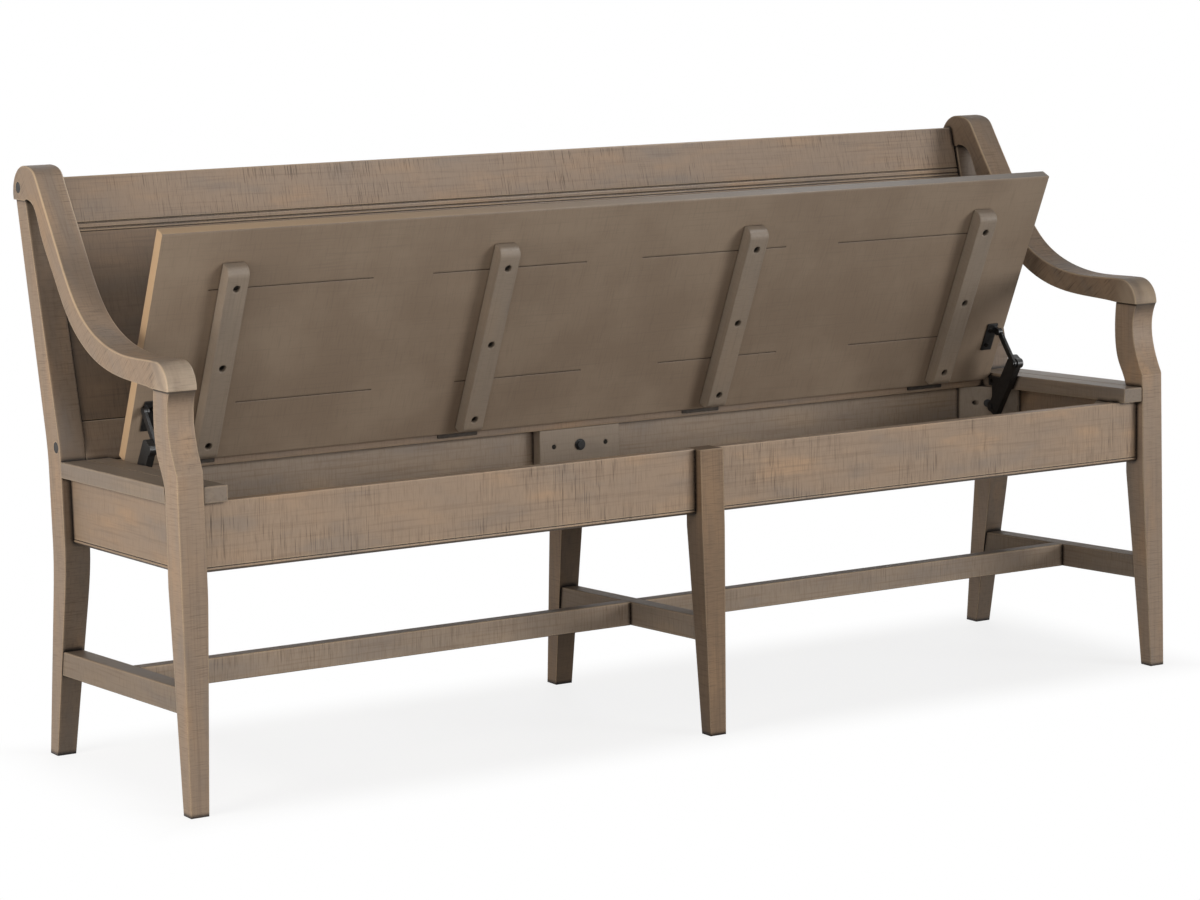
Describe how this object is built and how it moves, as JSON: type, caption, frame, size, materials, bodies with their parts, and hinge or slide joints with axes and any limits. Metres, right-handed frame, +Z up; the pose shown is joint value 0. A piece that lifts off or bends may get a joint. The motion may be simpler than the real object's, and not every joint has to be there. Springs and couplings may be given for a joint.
{
  "type": "storage bench with back",
  "caption": "Long wooden settle bench with scrolled arms, a leaning panelled back and a hinged seat lid over a storage box, held open by folding stays.",
  "frame": {"origin": "on the floor, under the middle of the whole bench's box", "axes": "+X along the bench to a sitter's left, +Y from the front feet to the back, +Z up"},
  "size_m": [1.91, 0.5886, 0.953],
  "materials": {
    "frame_wood": "weathered taupe-grey stain with cross saw marks and worn tan edges",
    "arm_wood": "weathered taupe-grey stain, worn warmer on the curves",
    "lid_wood": "plain smooth taupe stain",
    "inner_wood": "plain taupe stain",
    "black_metal": "black satin",
    "screw_steel": "dark zinc",
    "hinge_steel": "dull steel",
    "cap_plastic": "dark matte"
  },
  "bodies": {
    "frame": {"arm_dowels": "inner_wood", "arm_left": "arm_wood", "arm_right": "arm_wood", "back_apron_left": "frame_wood", "back_apron_right": "frame_wood", "back_bottom_rail": "frame_wood", "back_panel": "frame_wood", "back_post_left": "frame_wood", "back_post_right": "frame_wood", "back_rail_bolts": "black_metal", "back_top_rail": "frame_wood", "block_bolts": "black_metal", "block_screws": "screw_steel", "bolt_caps": "cap_plastic", "box_floor": "inner_wood", "centre_back_block": "inner_wood", "centre_back_leg": "frame_wood", "centre_front_block": "inner_wood", "centre_front_leg": "frame_wood", "centre_stretcher": "frame_wood", "corner_block_back_left": "inner_wood", "corner_block_back_right": "inner_wood", "corner_block_front_left": "inner_wood", "corner_block_front_right": "inner_wood", "end_stretcher_left": "frame_wood", "end_stretcher_right": "frame_wood", "floor_cleats": "inner_wood", "front_apron_left": "frame_wood", "front_apron_right": "frame_wood", "front_post_left": "frame_wood", "front_post_right": "frame_wood", "hinge_leaves_fixed": "hinge_steel", "hinge_pins": "hinge_steel", "long_stretcher_left": "frame_wood", "long_stretcher_right": "frame_wood", "rear_seat_board": "frame_wood", "seat_end_board_left": "frame_wood", "seat_end_board_right": "frame_wood", "seat_end_strip_left": "frame_wood", "seat_end_strip_right": "frame_wood", "side_apron_left": "frame_wood", "side_apron_right": "frame_wood", "stay_base_left": "black_metal", "stay_base_right": "black_metal", "stay_base_screws": "screw_steel"},
    "lid": {"lid_panel": "lid_wood", "lid_batten_1": "lid_wood", "lid_batten_2": "lid_wood", "lid_batten_3": "lid_wood", "lid_batten_4": "lid_wood", "batten_screws": "screw_steel", "hinge_leaves_lid": "hinge_steel", "stay_bracket_left": "black_metal", "stay_bracket_right": "black_metal", "stay_bracket_screws": "screw_steel"},
    "left_stay_arm": {"stay_arm_left": "black_metal"},
    "right_stay_arm": {"stay_arm_right": "black_metal"},
    "left_stay_link": {"stay_link_left": "black_metal"},
    "right_stay_link": {"stay_link_right": "black_metal"}
  },
  "joints": [
    {"name": "lid_hinge", "type": "hinge", "parent": "frame", "child": "lid", "pos_m": [0, 0.12019, 0.48499], "axis": [-1, 0, 0], "range_deg": [-63.9, 0]},
    {"name": "stay_arm_left_pivot", "type": "hinge", "parent": "frame", "child": "left_stay_arm", "pos_m": [-0.8596, 0.07869, 0.43049], "axis": [-1, 0, 0], "range_deg": [-63.9, 0]},
    {"name": "stay_link_left_pivot", "type": "hinge", "parent": "left_stay_arm", "child": "left_stay_link", "pos_m": [-0.8507, 0.00601, 0.51708], "axis": [-1, 0, 0], "range_deg": [0, 63.9]},
    {"name": "stay_arm_right_pivot", "type": "hinge", "parent": "frame", "child": "right_stay_arm", "pos_m": [0.8596, 0.07869, 0.43049], "axis": [-1, 0, 0], "range_deg": [-63.9, 0]},
    {"name": "stay_link_right_pivot", "type": "hinge", "parent": "right_stay_arm", "child": "right_stay_link", "pos_m": [0.8507, 0.00601, 0.51708], "axis": [-1, 0, 0], "range_deg": [0, 63.9]}
  ],
  "couplings": [
    {"joint": "stay_arm_left_pivot", "follows": "lid_hinge", "ratio": 1},
    {"joint": "stay_link_left_pivot", "follows": "lid_hinge", "ratio": -1},
    {"joint": "stay_arm_right_pivot", "follows": "lid_hinge", "ratio": 1},
    {"joint": "stay_link_right_pivot", "follows": "lid_hinge", "ratio": -1}
  ]
}
